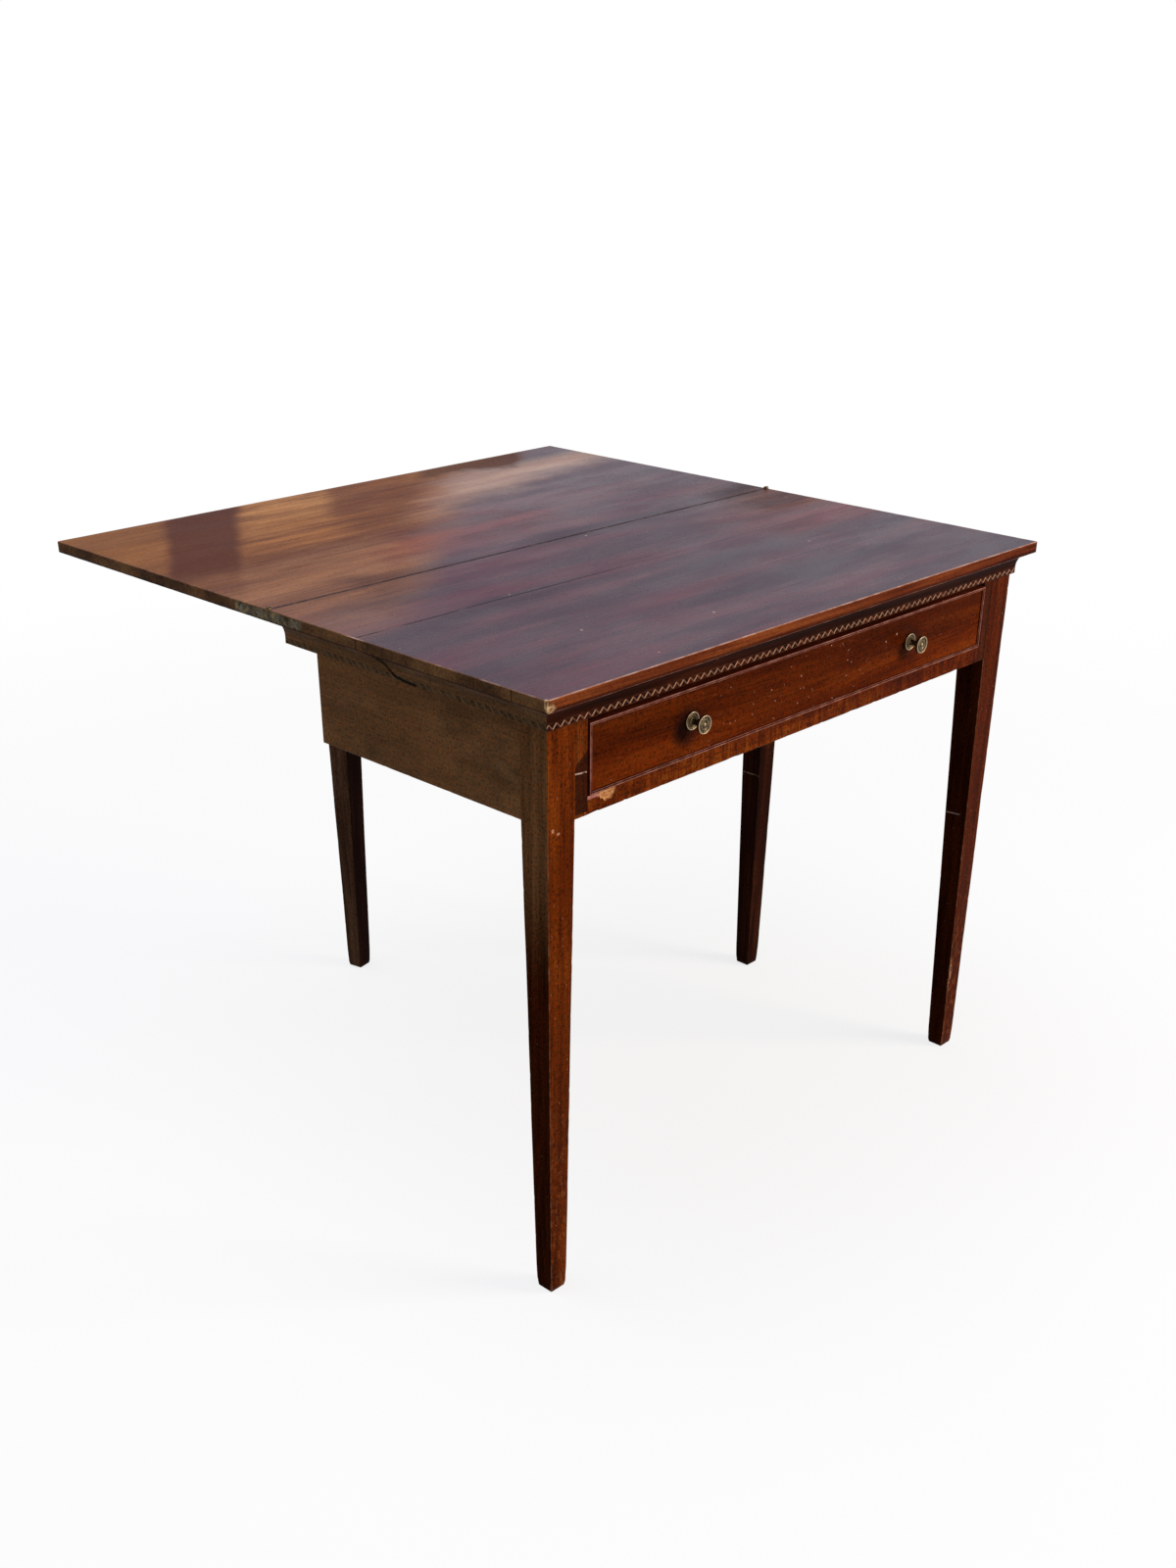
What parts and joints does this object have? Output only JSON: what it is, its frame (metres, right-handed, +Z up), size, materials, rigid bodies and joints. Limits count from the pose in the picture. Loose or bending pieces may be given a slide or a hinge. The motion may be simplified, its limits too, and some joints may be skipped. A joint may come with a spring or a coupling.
{
  "type": "folding tea table",
  "caption": "Fold-over mahogany tea table: two leaves on end hinges, a drawer with brass knobs, tapered legs and a gate leg that swings out to carry the open leaf.",
  "frame": {"origin": "on the floor under the middle of the open top, on the line of the joint between the leaves", "axes": "+Z up, +Y towards the back (the folding leaf's side), +X to the right of someone facing the drawer; the drawer opens towards -Y"},
  "size_m": [0.89, 0.894, 0.7481],
  "materials": {
    "mahogany_top": "french polished, faded and sun-struck",
    "mahogany_frame": "french polished, orange-brown, nicked",
    "mahogany_side": "dull brown polish on the side aprons",
    "drawer_face": "french polished straight-grained veneer",
    "crotch_rail": "polished flame-figured veneer",
    "cockbead": "worn bead, pale on its nose",
    "rope_inlay": "rope pattern inlay, pale and dark woods in turn",
    "oak_lining": "dry unpolished oak",
    "pine_carcase": "dry unpolished pine, darkened by age",
    "beech_gate": "dry unpolished beech",
    "aged_brass": "turned, browned by age",
    "hinge_brass": "cast and filed, tarnished",
    "screw_steel": "dark old steel"
  },
  "bodies": {
    "frame": {"fixed_leaf": "mahogany_top", "left_hinge_fixed_plate": "hinge_brass", "right_hinge_fixed_plate": "hinge_brass", "leaf_hinge_pins": "hinge_brass", "fixed_leaf_hinge_screws": "hinge_brass", "front_cornice": "mahogany_frame", "left_cornice": "mahogany_side", "right_cornice": "mahogany_side", "front_rope_inlay": "rope_inlay", "left_rope_inlay": "rope_inlay", "right_rope_inlay": "rope_inlay", "front_left_leg": "mahogany_frame", "front_right_leg": "mahogany_frame", "rear_right_leg": "mahogany_frame", "left_side_apron": "mahogany_side", "right_side_apron": "mahogany_side", "front_top_rail": "mahogany_frame", "front_lower_rail": "crotch_rail", "left_drawer_stile": "mahogany_frame", "right_drawer_stile": "mahogany_frame", "inner_back_rail": "pine_carcase", "fixed_hinge_rail": "beech_gate", "gate_hinge_pin": "screw_steel", "left_drawer_runner": "oak_lining", "right_drawer_runner": "oak_lining", "left_drawer_guide": "pine_carcase", "right_drawer_guide": "pine_carcase", "left_kicker": "pine_carcase", "right_kicker": "pine_carcase", "drawer_stops": "oak_lining", "glue_blocks": "pine_carcase", "top_screws": "screw_steel", "hinge_rail_screws": "screw_steel"},
    "folding_top": {"folding_leaf": "mahogany_top", "left_hinge_flap_plate": "hinge_brass", "right_hinge_flap_plate": "hinge_brass", "folding_leaf_hinge_screws": "hinge_brass"},
    "gate": {"gate_leg": "mahogany_frame", "fly_rail": "beech_gate"},
    "drawer": {"drawer_front": "drawer_face", "drawer_left_side": "oak_lining", "drawer_right_side": "oak_lining", "drawer_back": "oak_lining", "drawer_bottom": "pine_carcase", "drawer_top_bead": "cockbead", "drawer_bottom_bead": "cockbead", "drawer_left_bead": "cockbead", "drawer_right_bead": "cockbead", "left_knob": "aged_brass", "right_knob": "aged_brass", "left_knob_rose": "aged_brass", "right_knob_rose": "aged_brass", "knob_nuts": "aged_brass"}
  },
  "joints": [
    {"name": "leaf_fold", "type": "hinge", "parent": "frame", "child": "folding_top", "pos_m": [0, 0, 0.74515], "axis": [1, 0, 0], "range_deg": [0, 180]},
    {"name": "gate_swing", "type": "hinge", "parent": "frame", "child": "gate", "pos_m": [0.052, -0.0465, 0.6], "axis": [0, 0, 1], "range_deg": [-12.5, 77.5]},
    {"name": "drawer_slide", "type": "slide", "parent": "frame", "child": "drawer", "axis": [0, -1, 0], "range_m": [0, 0.26]}
  ]
}
